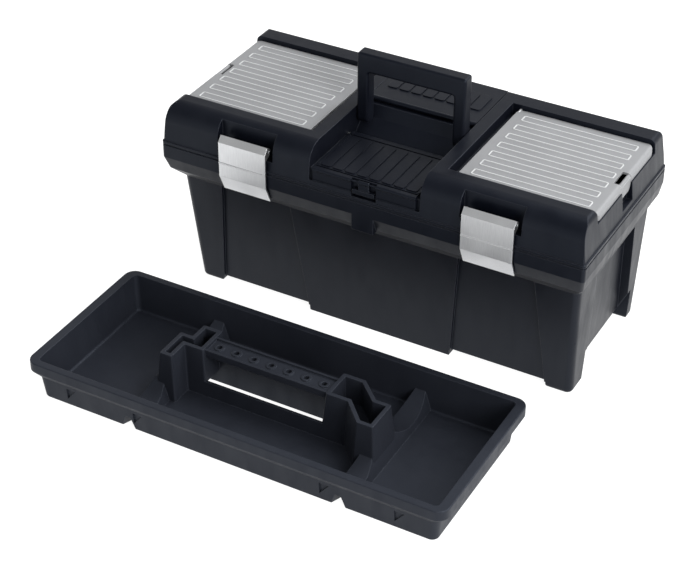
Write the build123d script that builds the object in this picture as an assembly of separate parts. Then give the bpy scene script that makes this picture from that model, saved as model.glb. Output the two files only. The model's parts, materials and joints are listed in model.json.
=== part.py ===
from build123d import *
import math
import os

# A twenty inch plastic tool box with its lift-out tote tray standing in front of it.
# Millimetres. X runs along the box, Y to the back, Z up. The origin is the middle of
# the underside of the box, on the floor.

# Box as a whole
BOX_LENGTH = 525.0
BOX_DEPTH = 235.0
SEAM_HEIGHT = 204.0
LID_HEIGHT = 48.0
WALL = 3.0
SEAM_CORNER = 4.0
TIGHT_CORNER = 0.8

# Clearances
RUN_GAP = 0.05
FIT_GAP = 0.02
SIDE_GAP = 0.5
EDGE_GAP = 0.8

# Tub: upright collar under the seam, slanted underside, drafted walls
COLLAR_BAND = 18.0
COLLAR_SLOPE = 34.0
COLLAR_KNEE = 0.5
COLLAR_SWELL = 0.28
COLLAR_END_STEP = 12.0
COLLAR_FRONT_STEP = 24.0
COLLAR_BACK_STEP = 4.5
END_DRAFT = 6.5
FRONT_DRAFT = 20.0
BACK_DRAFT = 0.6
TUB_CORNER = 8.0
PANEL_RECESS = 4.0
PANEL_LIFT = 8.0
MIDDLE_PANEL_TOP = 213.0
MIDDLE_PANEL_FOOT = 184.0
POST_TOP = 52.5
POST_FOOT = 31.0
FOOT_DEPTH = 30.0
BACK_FOOT_DEPTH = 20.0
FOOT_ROUND = 6.0
PANEL_ROUND = 1.2
END_RECESS = 11.0
END_RECESS_FRONT_TOP_MARGIN = 74.5
END_RECESS_FRONT_FOOT_MARGIN = 80.5
END_RECESS_BACK_TOP_MARGIN = 49.5
END_RECESS_BACK_FOOT_MARGIN = 26.5
END_RECESS_DROP = 4.0
END_BEVEL_HEIGHT = 44.0
END_BEVEL_RUN = 22.0
CENTRE_TAB_WIDTH = 27.0
CENTRE_TAB_HEIGHT = 20.0
SEAM_GROOVE = 1.4
SEAM_GROOVE_HEIGHT = 2.2
TONGUE_INSET = 5.0
TONGUE_THICK = 1.6
TONGUE_RISE = 3.0
TONGUE_ROOT = 10.0

# Lid shell
LIP_PROUD = 1.2
LIP_HEIGHT = 3.0
FRONT_LEAN = 2.3
FRONT_RISE = 26.0
FRONT_ROLL = 25.5
BACK_LEAN = 7.3
END_LEAN = 5.3
LID_EDGE_ROUND = 2.0
LID_END_ROUND = 7.0
WELL_FLOOR = 8.0
ORGANISER_INNER = 90.0
ORGANISER_END_WALL = 13.5
ORGANISER_FRONT_WALL = 38.5
ORGANISER_BACK_WALL = 30.5
END_SILL = 32.0
MIDDLE_HALF = 68.5
MIDDLE_BIN_MARGIN = 5.5
FRONT_BIN_MARGIN = 8.0
HANDLE_WELL_FLOOR = 14.0
STEP_FOOT = -8.0
STEP_KNEE = 10.0
STEP_KNEE_DROP = 13.0
STEP_HEAD = 18.0

# Rear hinges
HINGE_X = 150.0
HINGE_KNUCKLE = 5.5
HINGE_PIN = 2.0
HINGE_SETBACK = 0.3
HINGE_SIDE_LENGTH = 15.0
HINGE_MIDDLE_LENGTH = 28.0
HINGE_WEB = 11.0

# Latches: bent aluminium plates hung on a pin in a pocket of the lid
LATCH_X = 151.5
LATCH_WIDTH = 61.0
LATCH_THICK = 2.0
LATCH_STAND = 4.5
LATCH_TOP = 33.0
LATCH_SHOULDER = 26.0
LATCH_FLANGE_LEAN = 6.0
LATCH_KNEE = 17.5
LATCH_FOOT = 39.0
LATCH_FOOT_LEAN = 10.0
LATCH_BEAD = 1.0
LATCH_PIN = 1.75
LATCH_PIN_SETBACK = 5.0
LATCH_PIN_KNOB = 0.6
LATCH_EAR = 2.5
LATCH_EYE = 4.0
LATCH_LUG_WIDTH = 50.0
LATCH_POCKET_WIDTH = 72.0
LATCH_POCKET_DEPTH = 14.5
LATCH_POCKET_FLOOR = 15.0

# Carrying handle, upright as photographed
HANDLE_HALF = 67.5
HANDLE_RISE = 81.4
HANDLE_PIVOT_DROP = 12.0
HANDLE_LEG = 14.5
HANDLE_BAR = 23.4
HANDLE_THICK = 17.0
HANDLE_ROUND = 3.0
HANDLE_PIN = 3.0
HANDLE_PIN_DEEP = 11.0
HANDLE_PIN_OUT = 6.0

# Organiser covers and their clips
COVER_THICK = 3.0
COVER_DROP = 6.0
COVER_PIVOT = 4.5
COVER_STUB = 2.0
COVER_STUB_LENGTH = 3.2
COVER_CORNER = 9.0
COVER_SKIRT = 2.5
COVER_END_INSET = 6.0
COVER_ROLL = 5.5
COVER_CHANNEL = 6.0
COVER_CHANNEL_DEPTH = 9.0
RIB_COUNT = 7
RIB_HIGH = 0.6
RIB_LINE = 1.3
RIB_LOOP_WIDTH = 12.0
RIB_CORNER = 2.5
RIB_MARGIN = 12.0
RIB_END = 14.0
CLIP_WIDTH = 26.0
CLIP_THICK = 2.5
CLIP_LENGTH = 15.5
CLIP_EYE = 2.2
CLIP_PIN = 0.9
CLIP_EAR = 2.5
CLIP_SETBACK = 3.2
CLIP_SINK = 3.4
CLIP_FLAP_OUT = 0.5
CLIP_NOTCH = 10.5
CLIP_TIP = 7.0
CLIP_POCKET_SIDE = 1.5
CLIP_POCKET_DROP = 22.0

# Compartment lids in the middle of the lid
FRONT_LID_TOP = 25.0
FRONT_LID_THICK = 3.0
FRONT_LID_LIP = 16.2
FRONT_LID_SIDE = 5.0
FRONT_LIP_SETBACK = 2.0
FRONT_NOSE = 2.3
FRONT_BEAD = 0.8
FRONT_BORDER = 3.0
FRONT_LID_AXIS_Y = -25.0
FRONT_LID_BARREL = 3.5
FRONT_LID_ROD = 1.5
FRONT_PAD_COUNT = 8
FRONT_CLIP_NECK = 13.0
FRONT_CLIP_BAR = 27.0
FRONT_CLIP_BAR_HIGH = 5.0
FRONT_CLIP_BAR_PROUD = 1.5
FRONT_CLIP_NOTCH = 31.0
FRONT_CLIP_LENGTH = 14.0
FRONT_CLIP_POCKET = 7.0
PAD_HIGH = 1.2
PAD_GAP = 2.0
PAD_CORNER = 3.0
PAD_MARGIN = 9.5
LINE_WIDTH = 2.0
LINE_DEEP = 1.3
LINE_MARGIN = 5.5
BACK_LID_THICK = 3.0
BACK_LID_AXIS_Y = 25.0
BACK_LID_AXIS_DROP = 2.6
BACK_LID_BARREL = 3.0
BACK_LID_ROD = 1.2
BACK_BIN_MARGIN = 6.0
BACK_PAD_COUNT = 8
BACK_PAD_PITCH = 15.0
BACK_PAD_LENGTH = 36.0

# Tote tray, standing on the floor in front of the box
TRAY_X = -26.0
TRAY_Y = -267.6
TRAY_LENGTH = 516.0
TRAY_DEPTH = 207.0
TRAY_HEIGHT = 50.0
TRAY_WALL = 3.0
TRAY_END_PROUD = 8.5
TRAY_SIDE_PROUD = 5.5
TRAY_RIM_HEIGHT = 12.0
TRAY_RIM_SLOPE = 10.0
TRAY_RIM_ROUND = 1.2
TRAY_DRAFT = 4.5
TRAY_CORNER = 14.0
TRAY_FLOOR = 3.0
TRAY_FOOT_ROUND = 1.8
TRAY_FLOOR_ROUND = 3.0
PARTITION_LEFT = -129.5
PARTITION_RIGHT = 132.0
PARTITION_FOOT = 32.0
PARTITION_HEAD = 11.0
PARTITION_LOW = 10.0
PARTITION_HIGH = 27.0
GROOVE_FOOT = 24.0
GROOVE_HEIGHT = 17.0
GROOVE_RUN = 22.0
TOWER_TOP = 62.0
LEFT_OUTER_WIDTH = 15.5
RIGHT_OUTER_WIDTH = 19.0
TOWER_OUTER_FRONT = -31.0
TOWER_INNER_FRONT = -4.8
TOWER_OUTER_DEPTH = 43.0
TOWER_INNER_DEPTH = 40.6
TOWER_WALL = 4.5
TOWER_POCKET = 34.0
TOWER_DRAFT = 5.0
TOWER_ROUND = 2.0
CHANNEL_HEIGHT = 22.0
CHANNEL_BACK = 22.6
CHANNEL_ROOF = 19.5
BAR_FRONT = -1.3
BAR_LEFT = -88.0
BAR_RIGHT = 67.0
BAR_DEPTH = 27.3
BAR_THICK = 6.0
BAR_RAIL = 2.5
BAR_RAIL_HIGH = 2.5
BAR_DROP = 1.5
BAR_HOLE = 3.2
BAR_RING = 6.0
BAR_HOLE_COUNT = 7
LEFT_INNER_LENGTH = 24.0
RIGHT_INNER_LENGTH = 27.0
RIGHT_NECK = 25.0
NOTCH_WIDTH = 12.0
NOTCH_HEIGHT = 15.0
NOTCH_DEPTH = 2.0
NOTCH_LEVEL = 9.0
NOTCH_NEAR = 116.0
NOTCH_END_MARGIN = 54.0
END_NOTCH_Y = 38.0
END_NOTCH_SIZE = 4.0

# Levels and faces that follow from the sizes above
HALF_LENGTH = BOX_LENGTH / 2
HALF_DEPTH = BOX_DEPTH / 2
END_RECESS_FRONT_TOP = END_RECESS_FRONT_TOP_MARGIN - HALF_DEPTH
END_RECESS_FRONT_FOOT = END_RECESS_FRONT_FOOT_MARGIN - HALF_DEPTH
END_RECESS_BACK_TOP = HALF_DEPTH - END_RECESS_BACK_TOP_MARGIN
END_RECESS_BACK_FOOT = HALF_DEPTH - END_RECESS_BACK_FOOT_MARGIN
LID_TOP = SEAM_HEIGHT + LID_HEIGHT
BAND_FOOT = SEAM_HEIGHT - COLLAR_BAND
WALL_TOP = BAND_FOOT - COLLAR_SLOPE
HINGE_Y = HALF_DEPTH + HINGE_KNUCKLE + HINGE_SETBACK
PIVOT_Z = LID_TOP - HANDLE_PIVOT_DROP
COVER_TOP = LID_TOP - COVER_DROP
COVER_AXIS_X = ORGANISER_INNER + COVER_PIVOT
COVER_AXIS_Z = COVER_TOP - COVER_THICK / 2
ORGANISER_OUTER = HALF_LENGTH - ORGANISER_END_WALL
ORGANISER_FRONT = -HALF_DEPTH + ORGANISER_FRONT_WALL
ORGANISER_BACK = HALF_DEPTH - ORGANISER_BACK_WALL
COVER_MIDDLE_Y = (ORGANISER_FRONT + ORGANISER_BACK) / 2
COVER_END = HALF_LENGTH - COVER_END_INSET
CLIP_AXIS_X = COVER_END - CLIP_SETBACK
CLIP_AXIS_Z = COVER_TOP - CLIP_SINK
CLIP_POCKET_X = CLIP_AXIS_X + CLIP_FLAP_OUT - EDGE_GAP
LATCH_FACE_Y = -HALF_DEPTH - LATCH_STAND
LATCH_AXIS_Y = -HALF_DEPTH + LATCH_PIN_SETBACK
LATCH_AXIS_Z = SEAM_HEIGHT + LATCH_SHOULDER
FRONT_PLATE_TOP = SEAM_HEIGHT + FRONT_LID_TOP
FRONT_AXIS_Z = FRONT_PLATE_TOP - FRONT_LID_BARREL
FRONT_SHELF = FRONT_PLATE_TOP - FRONT_LID_THICK - SIDE_GAP
FRONT_LIP_FOOT = FRONT_PLATE_TOP - FRONT_LID_LIP
FRONT_LIP_Y = -HALF_DEPTH + FRONT_LIP_SETBACK
FRONT_LID_HALF = MIDDLE_HALF - FRONT_LID_SIDE
HANDLE_WELL_FRONT = FRONT_LID_AXIS_Y - FRONT_LID_BARREL - EDGE_GAP
FRONT_CLIP_Y = FRONT_LIP_Y + FRONT_NOSE / 2
FRONT_CLIP_Z = FRONT_PLATE_TOP - FRONT_NOSE
BACK_AXIS_Z = LID_TOP - BACK_LID_AXIS_DROP
LID_BACK_EDGE = HALF_DEPTH - LIP_PROUD - BACK_LEAN
PLATE_HALF = MIDDLE_HALF - EDGE_GAP
NOTCH_FAR = TRAY_LENGTH / 2 - NOTCH_END_MARGIN
FAR = 2 * BOX_LENGTH


def block(x0, x1, y0, y1, z0, z1):
    """Box between two corners."""
    middle = Pos((x0 + x1) / 2, (y0 + y1) / 2, (z0 + z1) / 2)
    return middle * Box(abs(x1 - x0), abs(y1 - y0), abs(z1 - z0))


def rod_x(x0, x1, y, z, radius):
    """Round bar along X."""
    return Pos((x0 + x1) / 2, y, z) * Rot(0, 90, 0) * Cylinder(radius, abs(x1 - x0))


def rod_y(x, y0, y1, z, radius):
    """Round bar along Y."""
    return Pos(x, (y0 + y1) / 2, z) * Rot(90, 0, 0) * Cylinder(radius, abs(y1 - y0))


def prism_y(points, y0, y1):
    """Outline in X and Z, carried along Y."""
    face = make_face(Polyline(*points, close=True))
    return extrude(Plane((0, y1, 0), x_dir=(1, 0, 0), z_dir=(0, -1, 0)) * face, y1 - y0)


def prism_x(points, x0, x1):
    """Outline in Y and Z, carried along X."""
    face = make_face(Polyline(*points, close=True))
    return extrude(Plane((x0, 0, 0), x_dir=(0, 1, 0), z_dir=(1, 0, 0)) * face, x1 - x0)


def mirrored(solid):
    """The same piece on the other side of the box."""
    return mirror(solid, about=Plane.YZ)


def both_sides(solid):
    """A piece and its mirror image."""
    return [solid, mirrored(solid)]


def plan(z, end, front, back, radius):
    """Rounded rectangle at a height, stepped in from the seam's outline."""
    corner = max(radius, TIGHT_CORNER)
    outline = RectangleRounded(BOX_LENGTH - 2 * end, BOX_DEPTH - front - back, corner)
    return Pos(0, (front - back) / 2, z) * outline


# Tub


def wall_plan(z, inset):
    """Outline of the tub's drafted wall at a height, moved in by an inset."""
    share = (WALL_TOP - z) / WALL_TOP
    return plan(
        z,
        COLLAR_END_STEP + END_DRAFT * share + inset,
        COLLAR_FRONT_STEP + FRONT_DRAFT * share + inset,
        COLLAR_BACK_STEP + BACK_DRAFT * share + inset,
        TUB_CORNER - inset,
    )


def wall_form(inset, z0, z1):
    """Drafted wall form between two heights."""
    return loft([wall_plan(z0, inset), wall_plan(z1, inset)], ruled=True)


def collar_plan(z, share, inset):
    """Outline of the collar at a height, stepped in by a share of its full step."""
    return plan(
        z,
        COLLAR_END_STEP * share + inset,
        COLLAR_FRONT_STEP * share + inset,
        COLLAR_BACK_STEP * share + inset,
        SEAM_CORNER - inset,
    )


def collar_form(inset, top):
    """Swelling underside and upright band of the collar."""
    knee = collar_plan(BAND_FOOT - COLLAR_SLOPE * COLLAR_KNEE, COLLAR_SWELL, inset)
    band = collar_plan(BAND_FOOT, 0, inset)
    slope = loft([wall_plan(WALL_TOP, inset), knee], ruled=True) + loft([knee, band], ruled=True)
    return slope + extrude(band, top - BAND_FOOT)


def panel_windows(grow):
    """Prisms over the two recessed panels between the middle panel and the posts."""
    foot = -2 * WALL
    inner_top = MIDDLE_PANEL_TOP / 2 - grow
    inner_foot = MIDDLE_PANEL_FOOT / 2 - grow
    outer_top = HALF_LENGTH - COLLAR_END_STEP - POST_TOP + grow
    outer_foot = HALF_LENGTH - COLLAR_END_STEP - END_DRAFT - POST_FOOT + grow
    points = [
        (inner_top, WALL_TOP + grow),
        (outer_top, WALL_TOP + grow),
        (outer_foot, foot),
        (inner_foot, foot),
    ]
    return both_sides(prism_y(points, -BOX_DEPTH, BOX_DEPTH))


def end_window(grow):
    """Prism over the recess in the middle of both ends."""
    top = WALL_TOP - END_RECESS_DROP + grow
    points = [
        (END_RECESS_FRONT_TOP - grow, top),
        (END_RECESS_BACK_TOP + grow, top),
        (END_RECESS_BACK_FOOT + grow, -2 * WALL),
        (END_RECESS_FRONT_FOOT - grow, -2 * WALL),
    ]
    return prism_x(points, -FAR, FAR)


def end_bevels(grow):
    """Slanted cut under both ends, between the feet."""
    share = (WALL_TOP - END_BEVEL_HEIGHT) / WALL_TOP
    wall_x = HALF_LENGTH - COLLAR_END_STEP - END_DRAFT * share - grow
    front = -HALF_DEPTH + COLLAR_FRONT_STEP + FRONT_DRAFT + FOOT_DEPTH - grow
    back = HALF_DEPTH - COLLAR_BACK_STEP - BACK_DRAFT - BACK_FOOT_DEPTH + grow
    points = [
        (wall_x - END_BEVEL_RUN, -grow - WALL),
        (FAR, -grow - WALL),
        (FAR, END_BEVEL_HEIGHT + grow),
        (wall_x, END_BEVEL_HEIGHT + grow),
    ]
    return both_sides(prism_y(points, front, back))


def centre_tab(inset):
    """Tab in the middle of the collar's front, flush with the band, under the front clip."""
    half = CENTRE_TAB_WIDTH / 2 - inset
    back = -HALF_DEPTH + COLLAR_FRONT_STEP + WALL
    low = BAND_FOOT - CENTRE_TAB_HEIGHT + inset
    return block(-half, half, -HALF_DEPTH + inset, back, low, BAND_FOOT + inset)


def seam_groove():
    """Narrow rebate round the top edge of the tub, a dark line under the lid's lip."""
    z = SEAM_HEIGHT - SEAM_GROOVE_HEIGHT
    ring = plan(z, -WALL, -WALL, -WALL, SEAM_CORNER)
    ring -= plan(z, SEAM_GROOVE, SEAM_GROOVE, SEAM_GROOVE, SEAM_CORNER - SEAM_GROOVE)
    return extrude(ring, WALL)


def hinge_knuckle(x0, x1, web_z):
    """Rear hinge knuckle with its web; the web lies above or below the axis."""
    knuckle = rod_x(x0, x1, HINGE_Y, SEAM_HEIGHT, HINGE_KNUCKLE)
    low = min(web_z, web_z + math.copysign(HINGE_WEB, web_z))
    web = block(x0, x1, HALF_DEPTH - WALL, HINGE_Y, SEAM_HEIGHT + low, SEAM_HEIGHT + low + HINGE_WEB)
    return knuckle + web


def hinge_spans():
    """X ranges of the lid's middle knuckle and the tub's two side knuckles of one hinge."""
    half = HINGE_MIDDLE_LENGTH / 2
    near = half + SIDE_GAP
    far = near + HINGE_SIDE_LENGTH
    middle = (HINGE_X - half, HINGE_X + half)
    sides = [(HINGE_X - far, HINGE_X - near), (HINGE_X + near, HINGE_X + far)]
    return middle, sides


def tongue():
    """Raised tongue inside the front and back rims, over which the lid's walls drop."""
    inner = TONGUE_INSET + TONGUE_THICK
    root = SEAM_HEIGHT - TONGUE_ROOT
    shelf = SEAM_HEIGHT - TONGUE_ROOT + WALL
    hole = plan(root, inner, inner, inner, SEAM_CORNER - inner)
    outer = plan(root, TONGUE_INSET, TONGUE_INSET, TONGUE_INSET, SEAM_CORNER - TONGUE_INSET)
    seat = plan(root, WALL / 2, WALL / 2, WALL / 2, SEAM_CORNER - WALL / 2)
    upright = extrude(outer, SEAM_HEIGHT + TONGUE_RISE - root)
    reach = HALF_LENGTH - 3 * WALL
    ring = upright + extrude(seat, shelf - root) - extrude(hole, FAR)
    return ring - both_sides(block(reach, FAR, -BOX_DEPTH, BOX_DEPTH, 0, LID_TOP))


def base_tub():
    floor_top = PANEL_LIFT + WALL
    foot_front = -HALF_DEPTH + COLLAR_FRONT_STEP + FRONT_DRAFT + FOOT_DEPTH
    foot_back = HALF_DEPTH - COLLAR_BACK_STEP - BACK_DRAFT - BACK_FOOT_DEPTH
    post_inner = HALF_LENGTH - COLLAR_END_STEP - END_DRAFT - POST_FOOT
    middle = MIDDLE_PANEL_FOOT / 2

    panel_cut = panel_windows(0)
    panel_back = wall_form(PANEL_RECESS, -3 * WALL, WALL_TOP)
    end_back = wall_form(END_RECESS, -3 * WALL, WALL_TOP)
    outer = wall_form(0, 0, WALL_TOP)
    outer -= [window - panel_back for window in panel_cut]
    outer -= end_window(0) - end_back
    outer -= end_bevels(0)
    for side in (1, -1):
        outer -= block(side * middle, side * post_inner, -BOX_DEPTH, BOX_DEPTH, -WALL, PANEL_LIFT)
        outer -= block(side * middle, side * FAR, foot_front, foot_back, -WALL, PANEL_LIFT)
    ground = outer.edges().filter_by(lambda edge: abs(edge.bounding_box().max.Z) < 1e-4)
    outer = fillet(ground.filter_by(lambda edge: abs(edge.center().X) > middle + WALL), FOOT_ROUND)
    ground = outer.edges().filter_by(lambda edge: abs(edge.bounding_box().max.Z) < 1e-4)
    outer = fillet(ground.filter_by(lambda edge: abs(edge.center().X) < middle + WALL), PANEL_ROUND)
    outer += collar_form(0, SEAM_HEIGHT)
    outer += centre_tab(0)
    outer -= seam_groove()

    cavity = wall_form(WALL, floor_top, WALL_TOP)
    cavity += collar_form(WALL, SEAM_HEIGHT + WALL) + centre_tab(WALL)
    panel_back = wall_form(PANEL_RECESS + WALL, -3 * WALL, WALL_TOP + 2 * WALL)
    end_back = wall_form(END_RECESS + WALL, -3 * WALL, WALL_TOP)
    cavity -= [window - panel_back for window in panel_windows(WALL)]
    cavity -= end_window(WALL) - end_back
    cavity -= end_bevels(WALL)
    trough = block(-middle + WALL, middle - WALL, -BOX_DEPTH, BOX_DEPTH, WALL, floor_top)
    cavity += wall_form(WALL, WALL, floor_top) & trough

    tub = outer - cavity
    gap = FRONT_CLIP_NOTCH / 2 + 2 * WALL
    tub += tongue() - block(-gap, gap, -BOX_DEPTH, 0, SEAM_HEIGHT, SEAM_HEIGHT + 2 * TONGUE_RISE)
    for x0, x1 in hinge_spans()[1]:
        for knuckle in both_sides(hinge_knuckle(x0, x1, -EDGE_GAP)):
            tub += knuckle
    return tub - hinge_bores(HINGE_PIN + FIT_GAP)


def hinge_bores(radius):
    """Bores through both rear hinges."""
    length = HINGE_MIDDLE_LENGTH / 2 + HINGE_SIDE_LENGTH + 2 * SIDE_GAP
    return both_sides(rod_x(HINGE_X - length, HINGE_X + length, HINGE_Y, SEAM_HEIGHT, radius))


def hinge_pin(side):
    length = HINGE_MIDDLE_LENGTH / 2 + HINGE_SIDE_LENGTH + SIDE_GAP
    return rod_x(side * HINGE_X - length, side * HINGE_X + length, HINGE_Y, SEAM_HEIGHT, HINGE_PIN)


# Lid shell


def lid_form(inset, sink):
    """Rolled front, leaning back and ends, moved in by an inset with the top sunk."""
    front = -HALF_DEPTH + inset
    back = HALF_DEPTH - inset
    top = LID_TOP - sink
    shoulder = (front + FRONT_LEAN, SEAM_HEIGHT + FRONT_RISE - sink / 2)
    crest = (-HALF_DEPTH + FRONT_ROLL, top)
    bulge = (
        shoulder[0] + (crest[0] - shoulder[0]) * (1 - math.sqrt(0.5)),
        shoulder[1] + (crest[1] - shoulder[1]) * math.sqrt(0.5),
    )
    outline = (
        Polyline((front, SEAM_HEIGHT), shoulder)
        + ThreePointArc(shoulder, bulge, crest)
        + Polyline(crest, (back - BACK_LEAN, top), (back, SEAM_HEIGHT), (front, SEAM_HEIGHT))
    )
    side = Plane((-FAR, 0, 0), x_dir=(0, 1, 0), z_dir=(1, 0, 0)) * make_face(outline)
    run = extrude(side, 2 * FAR)
    rise = top + WALL - SEAM_HEIGHT
    lean = END_LEAN * rise / LID_HEIGHT
    ends = loft(
        [
            plan(SEAM_HEIGHT, inset, inset, inset, SEAM_CORNER - inset),
            plan(SEAM_HEIGHT + rise, inset + lean, inset, inset, SEAM_CORNER - inset),
        ],
        ruled=True,
    )
    return run & ends


def lid_limits():
    """Two prisms, one across and one along, that round the top edges of the ends and the back."""
    low_x = HALF_LENGTH - LIP_PROUD
    high_x = low_x - END_LEAN
    across = make_face(
        Polyline(
            (-low_x, SEAM_HEIGHT),
            (-high_x, LID_TOP),
            (high_x, LID_TOP),
            (low_x, SEAM_HEIGHT),
            close=True,
        )
    )
    across = fillet(across.vertices().group_by(Axis.Y)[-1], LID_END_ROUND)
    ends = extrude(Plane((0, FAR, 0), x_dir=(1, 0, 0), z_dir=(0, -1, 0)) * across, 2 * FAR)
    side = make_face(
        Polyline(
            (-FAR, SEAM_HEIGHT),
            (-FAR, LID_TOP),
            (LID_BACK_EDGE, LID_TOP),
            (HALF_DEPTH - LIP_PROUD, SEAM_HEIGHT),
            close=True,
        )
    )
    side = fillet(side.vertices().group_by(Axis.Y)[-1].sort_by(Axis.X)[-1], LID_EDGE_ROUND)
    back = extrude(Plane((-FAR, 0, 0), x_dir=(0, 1, 0), z_dir=(1, 0, 0)) * side, 2 * FAR)
    return [ends, back]


def organiser_well(grow):
    """Room of the right organiser, open at the top."""
    return block(
        ORGANISER_INNER - grow,
        ORGANISER_OUTER + grow,
        ORGANISER_FRONT - grow,
        ORGANISER_BACK + grow,
        SEAM_HEIGHT + WELL_FLOOR - grow,
        LID_TOP + BOX_DEPTH,
    )


def end_opening(grow):
    """Lowered end wall of the right organiser, where the cover's skirt hangs."""
    return block(
        ORGANISER_OUTER - WALL,
        FAR,
        ORGANISER_FRONT - grow,
        ORGANISER_BACK + grow,
        SEAM_HEIGHT + END_SILL - grow,
        LID_TOP + BOX_DEPTH,
    )


def cover_channel(grow):
    """Shallow channel beside the hinge edge of the right cover."""
    return block(
        ORGANISER_INNER - COVER_CHANNEL - grow,
        ORGANISER_INNER,
        ORGANISER_FRONT - grow,
        ORGANISER_BACK + grow,
        COVER_TOP - COVER_CHANNEL_DEPTH - grow,
        LID_TOP + BOX_DEPTH,
    )


def clip_pocket(grow):
    """Finger room in the right end wall, under the cover's clip."""
    half = CLIP_WIDTH / 2 + CLIP_POCKET_SIDE + grow
    top = SEAM_HEIGHT + END_SILL + grow
    low = SEAM_HEIGHT + END_SILL - CLIP_POCKET_DROP - grow
    middle = COVER_MIDDLE_Y
    return block(CLIP_POCKET_X - grow, FAR, middle - half, middle + half, low, top)


def latch_pocket(grow):
    """Pocket in the rolled front of the lid, behind the head of the right latch."""
    half = LATCH_POCKET_WIDTH / 2 + grow
    deep = -HALF_DEPTH + LATCH_POCKET_DEPTH + grow
    low = SEAM_HEIGHT + LATCH_POCKET_FLOOR - grow
    return block(LATCH_X - half, LATCH_X + half, -BOX_DEPTH, deep, low, LID_TOP + WALL)


def middle_step(grow):
    """Front shelf, handle well and slanted step in the middle of the lid."""
    half = MIDDLE_HALF + grow
    shelf = FRONT_SHELF - grow
    well = SEAM_HEIGHT + HANDLE_WELL_FLOOR - grow
    head = BACK_AXIS_Z - BACK_LID_BARREL - EDGE_GAP - grow
    top = LID_TOP + BOX_DEPTH
    points = [
        (-BOX_DEPTH, shelf),
        (HANDLE_WELL_FRONT + grow, shelf),
        (HANDLE_WELL_FRONT + grow, well),
        (STEP_FOOT + grow, well),
        (STEP_KNEE + grow, head - STEP_KNEE_DROP),
        (STEP_HEAD + grow, head),
        (STEP_HEAD + grow, top),
        (-BOX_DEPTH, top),
    ]
    return prism_x(points, -half, half)


def front_rebate(grow):
    """Step in the front wall of the lid, behind the lip of the front compartment lid."""
    half = MIDDLE_HALF + grow
    deep = FRONT_LIP_Y + WALL + EDGE_GAP + grow
    return block(-half, half, -BOX_DEPTH, deep, FRONT_LIP_FOOT - EDGE_GAP - grow, LID_TOP + WALL)


def front_clip_pocket(grow):
    """Finger room in the front wall of the lid, under the front clip."""
    half = FRONT_CLIP_NOTCH / 2 + grow
    low = SEAM_HEIGHT + LIP_HEIGHT + SIDE_GAP - grow
    deep = -HALF_DEPTH + FRONT_CLIP_POCKET + grow
    return block(-half, half, -BOX_DEPTH, deep, low, FRONT_LIP_FOOT + grow)


def front_bin(grow):
    """Shallow room under the front compartment lid."""
    half = MIDDLE_HALF - MIDDLE_BIN_MARGIN + grow
    front = FRONT_LIP_Y + FRONT_BIN_MARGIN - grow
    back = HANDLE_WELL_FRONT - WALL + grow
    low = SEAM_HEIGHT + WELL_FLOOR - grow
    return block(-half, half, front, back, low, LID_TOP)


def back_rebate():
    """Flat seat of the back compartment lid, open to the back."""
    low = LID_TOP - BACK_LID_THICK - SIDE_GAP
    return block(-MIDDLE_HALF, MIDDLE_HALF, STEP_HEAD, BOX_DEPTH, low, LID_TOP + WALL)


def back_barrel_seat(grow):
    """Trough under the hinge barrel of the back compartment lid."""
    low = BACK_AXIS_Z - BACK_LID_BARREL - EDGE_GAP - grow
    back = BACK_LID_AXIS_Y + BACK_LID_BARREL + EDGE_GAP + grow
    return block(-MIDDLE_HALF - grow, MIDDLE_HALF + grow, STEP_HEAD - grow, back, low, LID_TOP + WALL)


def back_bin(grow):
    """Deep room under the back compartment lid."""
    half = MIDDLE_HALF - BACK_BIN_MARGIN + grow
    front = BACK_LID_AXIS_Y + BACK_LID_BARREL + WALL - grow
    back = LID_BACK_EDGE - BACK_BIN_MARGIN + grow
    return block(-half, half, front, back, SEAM_HEIGHT + WELL_FLOOR - grow, LID_TOP + WALL)


def latch_lug():
    """Lug that stands in the right pocket and carries the latch pin."""
    x0 = LATCH_X - LATCH_LUG_WIDTH / 2
    x1 = LATCH_X + LATCH_LUG_WIDTH / 2
    low = SEAM_HEIGHT + LATCH_POCKET_FLOOR - WALL / 2
    eye = rod_x(x0, x1, LATCH_AXIS_Y, LATCH_AXIS_Z, LATCH_EYE)
    stem = block(x0, x1, LATCH_AXIS_Y - WALL, LATCH_AXIS_Y + WALL, low, LATCH_AXIS_Z)
    deep = -HALF_DEPTH + LATCH_POCKET_DEPTH + WALL / 2
    root = block(x0, x1, LATCH_AXIS_Y - WALL, deep, low, LATCH_AXIS_Z - LATCH_EYE - EDGE_GAP)
    return eye + stem + root


def lid_bores():
    """Bores for the pins and stubs that turn in the lid."""
    bores = []
    reach = MIDDLE_HALF + 2 * WALL
    inside = MIDDLE_HALF - 2 * WALL
    for side in (1, -1):
        x0, x1 = side * inside, side * reach
        bores.append(rod_x(x0, x1, 0, PIVOT_Z, HANDLE_PIN + FIT_GAP))
        bores.append(rod_x(x0, x1, FRONT_LID_AXIS_Y, FRONT_AXIS_Z, FRONT_LID_ROD + FIT_GAP))
        bores.append(rod_x(x0, x1, BACK_LID_AXIS_Y, BACK_AXIS_Z, BACK_LID_ROD + FIT_GAP))
        pin_half = LATCH_WIDTH / 2
        x0, x1 = side * LATCH_X - pin_half, side * LATCH_X + pin_half
        bores.append(rod_x(x0, x1, LATCH_AXIS_Y, LATCH_AXIS_Z, LATCH_PIN + FIT_GAP))
        stub = COVER_STUB + RUN_GAP
        axis_x = side * COVER_AXIS_X
        front, back = ORGANISER_FRONT, ORGANISER_BACK
        bores.append(rod_y(axis_x, front - 2 * WALL, front + WALL, COVER_AXIS_Z, stub))
        bores.append(rod_y(axis_x, back - WALL, back + 2 * WALL, COVER_AXIS_Z, stub))
    return bores


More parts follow.
